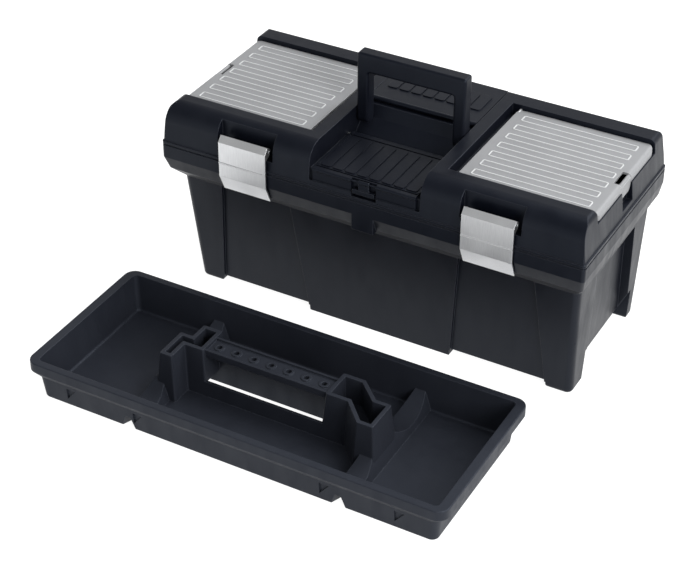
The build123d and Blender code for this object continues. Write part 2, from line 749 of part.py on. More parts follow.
def lid_shell():
    shell = lid_form(LIP_PROUD, 0)
    for limit in lid_limits():
        shell = shell & limit
    shell += extrude(plan(SEAM_HEIGHT, 0, 0, 0, SEAM_CORNER), LIP_HEIGHT)
    wells = both_sides(organiser_well(0)) + both_sides(end_opening(0)) + both_sides(cover_channel(0))
    wells += both_sides(clip_pocket(0)) + both_sides(latch_pocket(0))
    wells += [middle_step(0), front_rebate(0), front_clip_pocket(0), front_bin(0)]
    wells += [back_rebate(), back_barrel_seat(0), back_bin(0)]
    shell -= wells

    hollow = lid_form(LIP_PROUD + WALL, WALL)
    keep = both_sides(organiser_well(WALL)) + both_sides(end_opening(WALL))
    keep += both_sides(cover_channel(WALL))
    keep += both_sides(clip_pocket(WALL)) + both_sides(latch_pocket(WALL))
    keep += [middle_step(WALL), front_rebate(WALL), front_clip_pocket(WALL), front_bin(WALL)]
    keep += [back_barrel_seat(WALL), back_bin(WALL)]
    low = LID_TOP - BACK_LID_THICK - SIDE_GAP - WALL
    keep.append(block(-MIDDLE_HALF - WALL, MIDDLE_HALF + WALL, STEP_HEAD, BOX_DEPTH, low, LID_TOP))
    hollow -= keep
    shell -= hollow

    shell += both_sides(latch_lug())
    shell += both_sides(hinge_knuckle(*hinge_spans()[0], EDGE_GAP))
    return shell - lid_bores() - hinge_bores(HINGE_PIN + RUN_GAP)


# Latches


def strip(points, thickness):
    """Closed outline of a bent sheet: a polyline and its offset to the left, mitred."""
    offset_points = []
    for index, here in enumerate(points):
        normals = []
        for first, last in ((index - 1, index), (index, index + 1)):
            if 0 <= first and last < len(points):
                run = Vector(*points[last]) - Vector(*points[first])
                normals.append(Vector(-run.Y, run.X).normalized())
        mean = sum(normals, Vector()).normalized()
        reach = thickness / mean.dot(normals[0])
        offset_points.append((here[0] + mean.X * reach, here[1] + mean.Y * reach))
    return points + offset_points[::-1]


def latch():
    """Right latch: flange, face with a bead at the seam, tucked foot and two pin ears."""
    x0 = LATCH_X - LATCH_WIDTH / 2
    x1 = LATCH_X + LATCH_WIDTH / 2
    face = LATCH_FACE_Y
    outer = [
        (face + LATCH_FLANGE_LEAN, SEAM_HEIGHT + LATCH_TOP),
        (face, SEAM_HEIGHT + LATCH_SHOULDER),
        (face, SEAM_HEIGHT - LATCH_KNEE),
        (face + LATCH_FOOT_LEAN, SEAM_HEIGHT - LATCH_FOOT),
    ]
    outline = strip(outer, LATCH_THICK)
    plate = prism_x(outline, x0, x1)
    bead = rod_x(x0, x1, face, SEAM_HEIGHT, LATCH_BEAD)
    inner_top = outline[7]
    inner_shoulder = outline[6]
    ear = [
        inner_top,
        (LATCH_AXIS_Y + LATCH_EYE * 0.6, LATCH_AXIS_Z + LATCH_EYE * 0.8),
        (LATCH_AXIS_Y + LATCH_EYE, LATCH_AXIS_Z),
        (LATCH_AXIS_Y, LATCH_AXIS_Z - LATCH_EYE),
        (inner_shoulder[0], inner_shoulder[1] - 2 * LATCH_EYE),
        inner_shoulder,
    ]
    body = plate + bead
    body += prism_x(ear, x0, x0 + LATCH_EAR)
    body += prism_x(ear, x1 - LATCH_EAR, x1)
    return body - rod_x(x0 - WALL, x1 + WALL, LATCH_AXIS_Y, LATCH_AXIS_Z, LATCH_PIN + RUN_GAP)


def latch_pin():
    half = LATCH_WIDTH / 2 + LATCH_PIN_KNOB
    return rod_x(LATCH_X - half, LATCH_X + half, LATCH_AXIS_Y, LATCH_AXIS_Z, LATCH_PIN)


# Handle


def handle():
    top = PIVOT_Z + HANDLE_RISE
    inner = HANDLE_HALF - HANDLE_LEG
    outline = [
        (-HANDLE_HALF, PIVOT_Z),
        (-HANDLE_HALF, top),
        (HANDLE_HALF, top),
        (HANDLE_HALF, PIVOT_Z),
        (inner, PIVOT_Z),
        (inner, top - HANDLE_BAR),
        (-inner, top - HANDLE_BAR),
        (-inner, PIVOT_Z),
    ]
    grip = prism_y(outline, -HANDLE_THICK / 2, HANDLE_THICK / 2)
    for side in (1, -1):
        grip += rod_x(side * inner, side * HANDLE_HALF, 0, PIVOT_Z, HANDLE_THICK / 2)
    upper = grip.edges().filter_by(lambda edge: edge.center().Z > PIVOT_Z + HANDLE_THICK / 2)
    grip = fillet(upper, HANDLE_ROUND)
    blind = HANDLE_HALF - HANDLE_PIN_DEEP - SIDE_GAP
    return grip - both_sides(rod_x(blind, BOX_LENGTH, 0, PIVOT_Z, HANDLE_PIN + RUN_GAP))


def handle_pin():
    x0 = HANDLE_HALF - HANDLE_PIN_DEEP
    x1 = MIDDLE_HALF + WALL + HANDLE_PIN_OUT
    return rod_x(x0, x1, 0, PIVOT_Z, HANDLE_PIN)


# Organiser covers


def rib_loops(count, length, width, x, y, pitch, z):
    """Row of raised long loops, each the line round a rounded rectangle."""
    loops = []
    core = RectangleRounded(length - 2 * RIB_LINE, width - 2 * RIB_LINE, RIB_CORNER - RIB_LINE)
    ring = RectangleRounded(length, width, RIB_CORNER) - core
    for index in range(count):
        shift = (index - (count - 1) / 2) * pitch
        loops.append(extrude(Pos(x, y + shift, z) * ring, RIB_HIGH))
    return loops


def raised_pads(count, length, y, pitch, z):
    """Row of broad raised stripes with narrow gaps between them."""
    pad = RectangleRounded(pitch - PAD_GAP, length, PAD_CORNER)
    shifts = [(index - (count - 1) / 2) * pitch for index in range(count)]
    return [extrude(Pos(shift, y, z) * pad, PAD_HIGH) for shift in shifts]


def cover_plate(x0, y0, y1):
    """Plate of the right cover with its rolled end and skirt, rounded at the corners."""
    low = COVER_TOP - COVER_THICK
    foot = SEAM_HEIGHT + END_SILL + SIDE_GAP
    inside = COVER_END - COVER_SKIRT
    start = (COVER_END - COVER_ROLL, COVER_TOP)
    bulge = COVER_ROLL * (1 - math.sqrt(0.5))
    end = (COVER_END, COVER_TOP - COVER_ROLL)
    outline = (
        Polyline((x0, low), (x0, COVER_TOP), start)
        + ThreePointArc(start, (COVER_END - bulge, COVER_TOP - bulge), end)
        + Polyline(end, (COVER_END, foot), (inside, foot), (inside, low), (x0, low))
    )
    side = Plane((0, y1, 0), x_dir=(1, 0, 0), z_dir=(0, -1, 0)) * make_face(outline)
    form = Pos((x0 + COVER_END) / 2, (y0 + y1) / 2, foot) * RectangleRounded(
        COVER_END - x0, y1 - y0, COVER_CORNER
    )
    return extrude(side, y1 - y0) & extrude(form, COVER_TOP - foot)


def organiser_cover():
    """Right cover: plate, rib loops, pivot stubs, and a notch with two ears for the clip."""
    x0 = COVER_AXIS_X - COVER_THICK / 2 - EDGE_GAP
    y0 = ORGANISER_FRONT + EDGE_GAP
    y1 = ORGANISER_BACK - EDGE_GAP
    cover = cover_plate(x0, y0, y1)

    length = COVER_END - RIB_END - x0 - RIB_MARGIN
    ribs_x = x0 + RIB_MARGIN + length / 2
    pitch = (y1 - y0 - RIB_MARGIN) / RIB_COUNT
    cover += rib_loops(RIB_COUNT, length, RIB_LOOP_WIDTH, ribs_x, COVER_MIDDLE_Y, pitch, COVER_TOP)
    cover += rod_y(
        COVER_AXIS_X, y0 - EDGE_GAP - COVER_STUB_LENGTH, y0 + 2 * WALL, COVER_AXIS_Z, COVER_STUB
    )
    cover += rod_y(
        COVER_AXIS_X, y1 - 2 * WALL, y1 + EDGE_GAP + COVER_STUB_LENGTH, COVER_AXIS_Z, COVER_STUB
    )
    half = CLIP_WIDTH / 2 + SIDE_GAP
    middle = COVER_MIDDLE_Y
    notch_x = COVER_END - CLIP_NOTCH
    cover -= block(notch_x, FAR, middle - half, middle + half, SEAM_HEIGHT, LID_TOP + WALL)
    for side in (1, -1):
        near = middle + side * half
        far = near + side * CLIP_EAR
        ear_low = CLIP_AXIS_Z - CLIP_EYE
        ear_high = COVER_TOP - CLIP_EYE
        cover += block(CLIP_AXIS_X - CLIP_EYE, COVER_END - CLIP_PIN, near, far, ear_low, ear_high)
    return cover - clip_pin(CLIP_PIN + FIT_GAP)


def clip_pin(radius):
    half = CLIP_WIDTH / 2 + SIDE_GAP + CLIP_EAR
    return rod_y(CLIP_AXIS_X, COVER_MIDDLE_Y - half, COVER_MIDDLE_Y + half, CLIP_AXIS_Z, radius)


def cover_clip():
    """Right clip: a small flap that hangs from the ears in the cover's notch."""
    half = CLIP_WIDTH / 2
    y0, y1 = COVER_MIDDLE_Y - half, COVER_MIDDLE_Y + half
    x0 = CLIP_AXIS_X + CLIP_FLAP_OUT
    flap = block(x0, x0 + CLIP_THICK, y0, y1, CLIP_AXIS_Z - CLIP_LENGTH, CLIP_AXIS_Z)
    flap = fillet(flap.edges().filter_by(Axis.X).group_by(Axis.Z)[0], CLIP_TIP)
    flap += rod_y(CLIP_AXIS_X, y0, y1, CLIP_AXIS_Z, CLIP_EYE)
    return flap - rod_y(CLIP_AXIS_X, y0 - WALL, y1 + WALL, CLIP_AXIS_Z, CLIP_PIN + RUN_GAP)


# Compartment lids


def front_compartment_lid():
    half = FRONT_LID_HALF
    low = FRONT_PLATE_TOP - FRONT_LID_THICK
    axis_y = FRONT_LID_AXIS_Y
    lip_back = FRONT_LIP_Y + WALL
    lid = block(-half, half, FRONT_LIP_Y, axis_y, low, FRONT_PLATE_TOP)
    lid += block(-half, half, FRONT_LIP_Y, lip_back, FRONT_LIP_FOOT, FRONT_PLATE_TOP)
    lid = fillet(lid.edges().filter_by(Axis.X).group_by(Axis.Y)[0].group_by(Axis.Z)[-1], WALL / 2)
    nose_y = FRONT_LIP_Y + FRONT_NOSE / 2
    lid += rod_x(-half, half, nose_y, FRONT_PLATE_TOP - FRONT_NOSE, FRONT_NOSE)
    bead_top = FRONT_LIP_FOOT + 2 * FRONT_BEAD
    lid += block(-half, half, FRONT_LIP_Y - FRONT_BEAD, lip_back, FRONT_LIP_FOOT, bead_top)
    lid += rod_x(-half, half, axis_y, FRONT_AXIS_Z, FRONT_LID_BARREL)

    front = FRONT_LIP_Y + PAD_MARGIN
    back = axis_y - PAD_MARGIN
    for side in (1, -1):
        inner = side * (half - FRONT_BORDER)
        lid += block(inner, side * half, front, axis_y, low, FRONT_PLATE_TOP + RIB_HIGH)
    pitch = 2 * (half - FRONT_BORDER) / FRONT_PAD_COUNT
    lid += raised_pads(FRONT_PAD_COUNT, back - front, (front + back) / 2, pitch, FRONT_PLATE_TOP)
    for line in (FRONT_LIP_Y + LINE_MARGIN, axis_y - LINE_MARGIN - LINE_WIDTH):
        deep = FRONT_PLATE_TOP - LINE_DEEP
        lid -= block(-half, half, line, line + LINE_WIDTH, deep, FRONT_PLATE_TOP + WALL)
    notch = FRONT_CLIP_NOTCH / 2
    lid -= block(-notch, notch, -BOX_DEPTH, lip_back + EDGE_GAP, SEAM_HEIGHT, FRONT_PLATE_TOP + WALL)
    lid -= front_clip_pin(CLIP_PIN + FIT_GAP)
    return lid - front_rod(FRONT_LID_ROD + RUN_GAP)


def front_rod(radius):
    half = MIDDLE_HALF + WALL
    return rod_x(-half, half, FRONT_LID_AXIS_Y, FRONT_AXIS_Z, radius)


def front_clip_pin(radius):
    half = FRONT_CLIP_NOTCH / 2 + CLIP_EAR
    return rod_x(-half, half, FRONT_CLIP_Y, FRONT_CLIP_Z, radius)


def front_clip():
    """T-shaped clip: a narrow neck on the pin and a broad finger bar below it."""
    neck, bar = FRONT_CLIP_NECK / 2, FRONT_CLIP_BAR / 2
    y0, y1 = FRONT_CLIP_Y - CLIP_THICK / 2, FRONT_CLIP_Y + CLIP_THICK / 2
    foot = FRONT_CLIP_Z - FRONT_CLIP_LENGTH
    clip = block(-neck, neck, y0, y1, foot, FRONT_CLIP_Z)
    clip += block(-bar, bar, y0 - FRONT_CLIP_BAR_PROUD, y1, foot, foot + FRONT_CLIP_BAR_HIGH)
    clip += rod_x(-neck, neck, FRONT_CLIP_Y, FRONT_CLIP_Z, CLIP_EYE)
    return clip - front_clip_pin(CLIP_PIN + RUN_GAP)


def back_compartment_lid():
    low = LID_TOP - BACK_LID_THICK
    lid = block(-PLATE_HALF, PLATE_HALF, BACK_LID_AXIS_Y, LID_BACK_EDGE, low, LID_TOP)
    lid += rod_x(-PLATE_HALF, PLATE_HALF, BACK_LID_AXIS_Y, BACK_AXIS_Z, BACK_LID_BARREL)
    middle = (BACK_LID_AXIS_Y + BACK_LID_BARREL + LID_BACK_EDGE) / 2
    lid += raised_pads(BACK_PAD_COUNT, BACK_PAD_LENGTH, middle, BACK_PAD_PITCH, LID_TOP)
    return lid - back_rod(BACK_LID_ROD + RUN_GAP)


def back_rod(radius):
    half = MIDDLE_HALF + WALL
    return rod_x(-half, half, BACK_LID_AXIS_Y, BACK_AXIS_Z, radius)


# Tote tray


def tray_plan(z, inset):
    """Outline of the tray's drafted wall at a height, moved in by an inset."""
    step = TRAY_DRAFT * (TRAY_HEIGHT - z) / TRAY_HEIGHT + inset
    length = TRAY_LENGTH - 2 * (TRAY_END_PROUD + step)
    depth = TRAY_DEPTH - 2 * (TRAY_SIDE_PROUD + step)
    corner = max(TRAY_CORNER - TRAY_SIDE_PROUD - inset, TIGHT_CORNER)
    return Pos(TRAY_X, TRAY_Y, z) * RectangleRounded(length, depth, corner)


def tray_form(inset, z0, z1):
    """Drafted tray form between two heights."""
    return loft([tray_plan(z0, inset), tray_plan(z1, inset)], ruled=True)


def tray_spot(x, y):
    """A place in the tray, measured from its middle."""
    return (TRAY_X + x, TRAY_Y + y)


def tower_outline(points, inset):
    """Plan of a tower from its corners, every side moved in by an inset, mitred."""
    corners = []
    for index, here in enumerate(points):
        before = Vector(*here) - Vector(*points[index - 1])
        after = Vector(*points[(index + 1) % len(points)]) - Vector(*here)
        first = Vector(-before.Y, before.X).normalized()
        second = Vector(-after.Y, after.X).normalized()
        mean = (first + second).normalized()
        reach = inset / mean.dot(first)
        corners.append(tray_spot(here[0] + mean.X * reach, here[1] + mean.Y * reach))
    return make_face(Polyline(*corners, close=True))


def tower(points):
    """Solid of a tower: drafted, rounded at the corners."""
    foot = fillet(tower_outline(points, -TOWER_DRAFT).vertices(), TOWER_ROUND)
    head = fillet(tower_outline(points, 0).vertices(), TOWER_ROUND)
    return loft([foot, Pos(0, 0, TOWER_TOP) * head], ruled=True)


def tower_socket(points):
    """Room in the top of a tower."""
    plan_face = fillet(tower_outline(points, TOWER_WALL).vertices(), TOWER_ROUND / 2)
    return Pos(0, 0, TOWER_TOP - TOWER_POCKET) * extrude(plan_face, TOWER_TOP)


def channel_front(z):
    """Front face of the inner towers and of the channel's front wall at a height."""
    return TRAY_Y + TOWER_INNER_FRONT - TOWER_DRAFT * (1 - z / TOWER_TOP)


def channel_walls():
    """Low front wall and full back wall of the open channel under the grip bar."""
    x0 = TRAY_X + BAR_LEFT - TOWER_WALL / 2
    x1 = TRAY_X + BAR_RIGHT + TOWER_WALL / 2
    high = channel_front(CHANNEL_HEIGHT)
    low = channel_front(0)
    front = [
        (low, 0),
        (low + TRAY_WALL, 0),
        (high + TRAY_WALL, CHANNEL_HEIGHT),
        (high, CHANNEL_HEIGHT),
    ]
    back = TRAY_Y + CHANNEL_BACK
    top = TOWER_TOP - BAR_DROP - BAR_RAIL_HIGH
    return prism_x(front, x0, x1) + block(x0, x1, back, back + TRAY_WALL, 0, top)


def channel_room():
    """Open underside of the channel, carried on below the inner towers."""
    x0 = TRAY_X + BAR_LEFT - 2 * LEFT_INNER_LENGTH / 3
    x1 = TRAY_X + BAR_RIGHT + RIGHT_INNER_LENGTH / 2
    back = TRAY_Y + CHANNEL_BACK
    room = [
        (channel_front(-WALL) + TRAY_WALL, -WALL),
        (back, -WALL),
        (back, CHANNEL_ROOF),
        (channel_front(CHANNEL_ROOF) + TRAY_WALL, CHANNEL_ROOF),
    ]
    return prism_x(room, x0, x1)


def left_tower_points():
    waist = BAR_LEFT - LEFT_INNER_LENGTH
    outer = waist - LEFT_OUTER_WIDTH
    front, back = TOWER_OUTER_FRONT, TOWER_OUTER_FRONT + TOWER_OUTER_DEPTH
    inner_front, inner_back = TOWER_INNER_FRONT, TOWER_INNER_FRONT + TOWER_INNER_DEPTH
    return [
        (outer, front),
        (waist, front),
        (waist, inner_front),
        (BAR_LEFT, inner_front),
        (BAR_LEFT, inner_back),
        (waist, inner_back),
        (waist, back),
        (outer, back),
    ]


def right_tower_points():
    waist = BAR_RIGHT + RIGHT_INNER_LENGTH
    near = waist + RIGHT_NECK
    outer = near + RIGHT_OUTER_WIDTH
    front, back = TOWER_OUTER_FRONT, TOWER_OUTER_FRONT + TOWER_OUTER_DEPTH
    inner_front, inner_back = TOWER_INNER_FRONT, TOWER_INNER_FRONT + TOWER_INNER_DEPTH
    return [
        (BAR_RIGHT, inner_front),
        (waist, inner_front),
        (near, front),
        (outer, front),
        (outer, back),
        (near, back),
        (waist, inner_back),
        (BAR_RIGHT, inner_back),
    ]


def partition(x):
    """Cross wall: wide foot, narrow head, scooped out on both sides of the tower."""
    cx = TRAY_X + x
    wall = [
        (cx - PARTITION_FOOT / 2, 0),
        (cx + PARTITION_FOOT / 2, 0),
        (cx + PARTITION_HEAD / 2, PARTITION_HIGH),
        (cx - PARTITION_HEAD / 2, PARTITION_HIGH),
    ]
    body = prism_y(wall, TRAY_Y - TRAY_DEPTH / 2, TRAY_Y + TRAY_DEPTH / 2)
    edges = {1: TOWER_OUTER_FRONT + TOWER_OUTER_DEPTH, -1: TOWER_OUTER_FRONT}
    far = TRAY_DEPTH / 2 - TRAY_SIDE_PROUD - TRAY_WALL
    plane = Plane((cx - PARTITION_FOOT, 0, 0), x_dir=(0, 1, 0), z_dir=(1, 0, 0))
    for side, edge in edges.items():
        near = (TRAY_Y + edge, PARTITION_HIGH)
        low = (TRAY_Y + (edge + side * far) / 2, PARTITION_LOW)
        wide = (TRAY_Y + side * far, PARTITION_HIGH)
        above = 2 * PARTITION_HIGH
        scoop = ThreePointArc(near, low, wide) + Polyline(
            wide, (wide[0], above), (near[0], above), near
        )
        body -= extrude(plane * make_face(scoop), 2 * PARTITION_FOOT)
    return body


def grooves():
    """Wedge-shaped notches in the foot of the long walls, below the partitions."""
    cuts = []
    reach = TRAY_DEPTH / 2 - TRAY_SIDE_PROUD - TRAY_DRAFT
    for x in (PARTITION_LEFT, PARTITION_RIGHT):
        for side in (1, -1):
            wide, high = GROOVE_FOOT / 2, GROOVE_HEIGHT
            y = TRAY_Y + side * (reach + TRAY_DRAFT)
            inner_y = TRAY_Y + side * (reach - GROOVE_RUN)
            faces = []
            for place, share in ((y, 1), (inner_y, 0.1)):
                points = [
                    (TRAY_X + x - wide * share, -WALL),
                    (TRAY_X + x + wide * share, -WALL),
                    (TRAY_X + x + wide * share / 3, high * share),
                    (TRAY_X + x - wide * share / 3, high * share),
                ]
                face = make_face(Polyline(*points, close=True))
                faces.append(Plane((0, place, 0), x_dir=(1, 0, 0), z_dir=(0, -1, 0)) * face)
            cuts.append(loft(faces, ruled=True))
    return cuts


def tray_bar():
    """Grip bar between the towers, with two rails and a row of ringed tool holes."""
    x0, x1 = TRAY_X + BAR_LEFT - TOWER_WALL, TRAY_X + BAR_RIGHT + TOWER_WALL
    y0 = TRAY_Y + BAR_FRONT
    y1 = y0 + BAR_DEPTH
    top = TOWER_TOP - BAR_DROP
    deck = top - BAR_RAIL_HIGH
    bar = block(x0, x1, y0, y1, deck - BAR_THICK, deck)
    bar += block(x0, x1, y0, y0 + BAR_RAIL, deck, top)
    bar += block(x0, x1, y1 - BAR_RAIL, y1, deck, top)
    pitch = (BAR_RIGHT - BAR_LEFT) / BAR_HOLE_COUNT
    for index in range(BAR_HOLE_COUNT):
        x = TRAY_X + BAR_LEFT + (index + 0.5) * pitch
        spot = Pos(x, (y0 + y1) / 2, deck)
        bar += spot * Cylinder(BAR_RING, BAR_RAIL_HIGH)
        bar -= spot * Cylinder(BAR_HOLE, 4 * BAR_THICK)
    return bar


def divider_notches():
    """Small blind marks: three-cornered in the long walls, square in the ends."""
    cuts = []
    for x in (-NOTCH_FAR, -NOTCH_NEAR, NOTCH_NEAR, NOTCH_FAR):
        left = TRAY_X + x - NOTCH_WIDTH / 2
        points = [
            (left, NOTCH_LEVEL),
            (left + NOTCH_WIDTH, NOTCH_LEVEL + NOTCH_HEIGHT),
            (left, NOTCH_LEVEL + NOTCH_HEIGHT),
        ]
        cuts.append(prism_y(points, TRAY_Y - TRAY_DEPTH, TRAY_Y + TRAY_DEPTH))
    for y in (-END_NOTCH_Y, END_NOTCH_Y):
        y0 = TRAY_Y + y - END_NOTCH_SIZE / 2
        z0 = NOTCH_LEVEL + NOTCH_HEIGHT / 2
        x0, x1 = TRAY_X - TRAY_LENGTH, TRAY_X + TRAY_LENGTH
        cuts.append(block(x0, x1, y0, y0 + END_NOTCH_SIZE, z0, z0 + END_NOTCH_SIZE))
    core = tray_form(NOTCH_DEPTH, 0, TRAY_HEIGHT)
    return [cut - core for cut in cuts]


def tote_tray():
    rim_foot = TRAY_HEIGHT - TRAY_RIM_HEIGHT
    rim = Pos(TRAY_X, TRAY_Y, rim_foot) * RectangleRounded(TRAY_LENGTH, TRAY_DEPTH, TRAY_CORNER)
    outer = tray_form(0, 0, TRAY_HEIGHT)
    outer = fillet(outer.faces().sort_by(Axis.Z)[0].edges(), TRAY_FOOT_ROUND)
    flange = extrude(rim, TRAY_RIM_HEIGHT)
    flange = fillet(flange.faces().sort_by(Axis.Z)[-1].edges(), TRAY_RIM_ROUND)
    outer += flange
    outer += loft([tray_plan(rim_foot - TRAY_RIM_SLOPE, 0), rim], ruled=True)
    room = tray_form(TRAY_WALL, TRAY_FLOOR, TRAY_HEIGHT)
    room = fillet(room.faces().sort_by(Axis.Z)[0].edges(), TRAY_FLOOR_ROUND)
    tray = outer - room

    inside = tray_form(TRAY_WALL / 2, 0, TOWER_TOP)
    towers = [left_tower_points(), right_tower_points()]
    fittings = partition(PARTITION_LEFT) + partition(PARTITION_RIGHT)
    fittings += channel_walls()
    fittings += tray_bar()
    for points in towers:
        fittings += tower(points)
    tray += fittings & inside
    for points in towers:
        tray -= tower_socket(points)
    tray -= channel_room()
    tray -= grooves()
    return tray - divider_notches()


def build():
    """Every piece under its node name."""
    nodes = {
        "base_tub": base_tub(),
        "lid_shell": lid_shell(),
        "handle": handle(),
        "front_compartment_lid": front_compartment_lid(),
        "front_lid_hinge_rod": front_rod(FRONT_LID_ROD),
        "front_lid_clip": front_clip(),
        "front_clip_pin": front_clip_pin(CLIP_PIN),
        "back_compartment_lid": back_compartment_lid(),
        "back_lid_hinge_rod": back_rod(BACK_LID_ROD),
        "tote_tray": tote_tray(),
    }
    pairs = {
        "rear_hinge_pin": hinge_pin(1),
        "latch": latch(),
        "latch_pin": latch_pin(),
        "handle_pivot_pin": handle_pin(),
        "organiser_cover": organiser_cover(),
        "cover_clip": cover_clip(),
        "cover_clip_pin": clip_pin(CLIP_PIN),
    }
    for name, solid in pairs.items():
        nodes[name + "_right"] = solid
        nodes[name + "_left"] = mirrored(solid)
    return nodes


os.makedirs("parts", exist_ok=True)
for node, solid in build().items():
    export_step(solid, f"parts/{node}.step")
    box = solid.bounding_box()
    print(f"{node}: {len(solid.solids())} solid, {solid.volume / 1000:.1f} cm3, {box.size}")
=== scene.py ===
import bpy
import json
import math
from mathutils import Matrix, Vector

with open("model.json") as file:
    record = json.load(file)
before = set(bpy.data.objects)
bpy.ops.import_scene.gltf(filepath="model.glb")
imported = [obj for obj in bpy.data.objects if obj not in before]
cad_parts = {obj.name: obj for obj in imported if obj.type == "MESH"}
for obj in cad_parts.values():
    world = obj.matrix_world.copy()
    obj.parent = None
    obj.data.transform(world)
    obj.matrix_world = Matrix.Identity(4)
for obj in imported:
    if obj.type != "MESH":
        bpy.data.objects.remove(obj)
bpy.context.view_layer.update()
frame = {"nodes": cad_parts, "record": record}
nodes = frame["nodes"]
print("frame loaded:", len(nodes), "nodes")


# node helpers: every material starts from object coordinates in metres

cloudSpan = (0.35, 0.65)  # the part of a noise that is spread over the whole range
grainSpan = (0.3, 0.7)
edgeCosines = (0.995, 0.80)  # agreement of true and rounded normal: off the edge, on the edge


def startMaterial(name):
    mat = bpy.data.materials.new(name)
    mat.use_nodes = True
    tree = mat.node_tree
    shader = tree.nodes["Principled BSDF"]
    coords = tree.nodes.new("ShaderNodeTexCoord").outputs["Object"]
    return mat, tree, shader, coords


def noiseField(tree, coords, scale, detail=2.0, roughness=0.5, stretch=None):
    if stretch:  # a pattern drawn out along an axis
        mapping = tree.nodes.new("ShaderNodeMapping")
        mapping.inputs["Scale"].default_value = stretch
        tree.links.new(coords, mapping.inputs["Vector"])
        coords = mapping.outputs["Vector"]
    noise = tree.nodes.new("ShaderNodeTexNoise")
    noise.inputs["Scale"].default_value = scale
    noise.inputs["Detail"].default_value = detail
    noise.inputs["Roughness"].default_value = roughness
    tree.links.new(coords, noise.inputs["Vector"])
    return noise.outputs["Fac"]


def remap(tree, value, fromLow, fromHigh, toLow, toHigh):
    node = tree.nodes.new("ShaderNodeMapRange")
    for key, number in zip(("From Min", "From Max", "To Min", "To Max"), (fromLow, fromHigh, toLow, toHigh)):
        node.inputs[key].default_value = number
    tree.links.new(value, node.inputs["Value"])
    return node.outputs["Result"]


def mixColour(tree, factor, first, second):
    node = tree.nodes.new("ShaderNodeMix")
    node.data_type = "RGBA"
    tree.links.new(factor, node.inputs["Factor"])
    # inputs 6 and 7 and output 2 are the node's colour sockets
    for socket, colour in ((node.inputs[6], first), (node.inputs[7], second)):
        if isinstance(colour, tuple):
            socket.default_value = (*colour, 1.0)
        else:
            tree.links.new(colour, socket)
    return node.outputs[2]


def bumped(tree, height, distance, strength, normal=None):
    node = tree.nodes.new("ShaderNodeBump")
    node.inputs["Distance"].default_value = distance
    node.inputs["Strength"].default_value = strength
    tree.links.new(height, node.inputs["Height"])
    if normal is not None:
        tree.links.new(normal, node.inputs["Normal"])
    return node.outputs["Normal"]


def softEdges(tree, radius):
    # rounded shading normal near edges, and a mask that is 1 on the edge
    bevel = tree.nodes.new("ShaderNodeBevel")
    bevel.samples = 4
    bevel.inputs["Radius"].default_value = radius
    geometry = tree.nodes.new("ShaderNodeNewGeometry")
    dot = tree.nodes.new("ShaderNodeVectorMath")
    dot.operation = "DOT_PRODUCT"
    tree.links.new(bevel.outputs["Normal"], dot.inputs[0])
    tree.links.new(geometry.outputs["Normal"], dot.inputs[1])
    mask = remap(tree, dot.outputs["Value"], *edgeCosines, 0.0, 1.0)
    return bevel.outputs["Normal"], mask


# moulded plastic of the box and the tray: fine grain, faint flow marks, and a painted highlight along the edges

boxPlastic = dict(
    name="boxPlastic",
    colour=(0.0026, 0.0033, 0.0064),
    mottle=(0.0046, 0.0054, 0.0088),
    edge=(0.050, 0.054, 0.066),
    edgeRadius=0.0012,
    edgeShare=0.7,
    roughness=(0.33, 0.48),
    cloudScale=9.0,
    flowScale=60.0,
    flowStretch=(1.0, 1.0, 0.25),
    grainScale=1500.0,
    grainDepth=0.00006,
    grainStrength=0.5,
    specular=0.22,
    sheenTint=(0.72, 0.82, 1.0),
)
trayPlastic = dict(
    boxPlastic,
    name="trayPlastic",
    colour=(0.0125, 0.0140, 0.0195),
    mottle=(0.0160, 0.0178, 0.0240),
    edge=(0.038, 0.042, 0.052),
    roughness=(0.44, 0.60),
    specular=0.30,
)
# the two compartment lids: a painted shade along the pad edges makes the gaps between the pads read dark
padPlastic = dict(boxPlastic, name="padPlastic", edge=(0.0010, 0.0012, 0.0020), edgeRadius=0.0004)


def mouldedPlastic(look):
    mat, tree, shader, coords = startMaterial(look["name"])
    normal, edgeMask = softEdges(tree, look["edgeRadius"])
    cloud = noiseField(tree, coords, look["cloudScale"], 4.0)
    flow = noiseField(tree, coords, look["flowScale"], 3.0, 0.6, look["flowStretch"])
    grain = noiseField(tree, coords, look["grainScale"], 2.0, 0.6)
    body = mixColour(tree, remap(tree, cloud, *cloudSpan, 0.0, 1.0), look["colour"], look["mottle"])
    # painted edge tone: a painted highlight along the box and tray edges, a painted shade along the pad edges
    paintedEdge = remap(tree, edgeMask, 0.0, 1.0, 0.0, look["edgeShare"])
    tree.links.new(mixColour(tree, paintedEdge, body, look["edge"]), shader.inputs["Base Color"])
    low, high = look["roughness"]
    tree.links.new(remap(tree, flow, *grainSpan, low, high), shader.inputs["Roughness"])
    tree.links.new(bumped(tree, grain, look["grainDepth"], look["grainStrength"], normal), shader.inputs["Normal"])
    shader.inputs["Specular IOR Level"].default_value = look["specular"]
    shader.inputs["Specular Tint"].default_value = (*look["sheenTint"], 1.0)
    return mat


# frosted see-through plastic of the organiser covers; a painted highlight on the tops of the raised ribs and along
# the edges

coverPlastic = dict(
    name="frostedCover",
    colour=(0.27, 0.275, 0.285),
    rib=(0.62, 0.63, 0.64),
    ribLevel=0.24615,
    ribFade=0.0002,
    edgeRadius=0.0008,
    edgeShare=0.6,
    roughness=(0.34, 0.50),
    transmission=0.10,
    refraction=1.49,
    cloudScale=14.0,
    dullShare=0.88,
    frostScale=900.0,
    frostDepth=0.00005,
    frostStrength=0.4,
)


